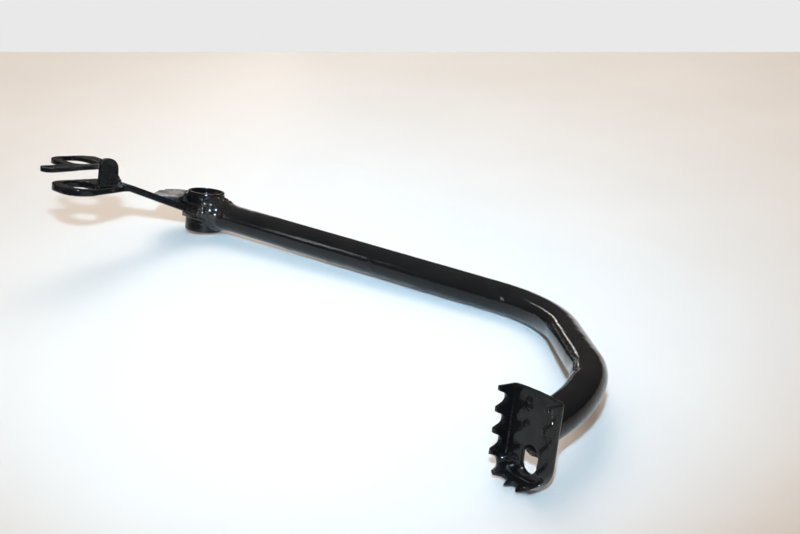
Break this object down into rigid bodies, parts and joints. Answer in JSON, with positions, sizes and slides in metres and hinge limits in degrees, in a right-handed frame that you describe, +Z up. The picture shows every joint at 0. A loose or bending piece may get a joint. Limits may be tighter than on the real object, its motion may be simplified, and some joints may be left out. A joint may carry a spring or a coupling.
{
  "type": "motorcycle foot brake pedal",
  "caption": "Welded steel foot brake pedal: pivot sleeve, long bent tube with a toothed foot pad, and a short lever with a slotted clevis.",
  "frame": {"origin": "centre of the pivot bore, halfway along the sleeve", "axes": "+Z up from the level floor the pedal lies on, +X along the straight part of the foot tube seen from above, +Y away from the foot pad's side; the bore leans 12.4 degrees from +Z towards +Y"},
  "size_m": [0.4452, 0.1922, 0.0897],
  "materials": {
    "pivot_sleeve": "thick gloss black paint with runs",
    "foot_tube": "thick gloss black paint with runs",
    "foot_pad": "thick gloss black paint with runs",
    "lever_arm": "thick gloss black paint with runs",
    "upper_ear": "thick gloss black paint with runs",
    "ear_post": "thick gloss black paint with runs",
    "stop_tab": "thick gloss black paint with runs",
    "weld_bead": "rough weld bead under gloss black paint"
  },
  "bodies": {
    "root": {"pivot_sleeve": "pivot_sleeve", "foot_tube": "foot_tube", "foot_pad": "foot_pad", "lever_arm": "lever_arm", "upper_ear": "upper_ear", "ear_post": "ear_post", "stop_tab": "stop_tab", "tube_weld": "weld_bead", "lever_weld": "weld_bead", "tab_weld": "weld_bead", "pad_weld": "weld_bead", "post_foot_weld": "weld_bead", "post_top_weld": "weld_bead"}
  },
  "joints": []
}
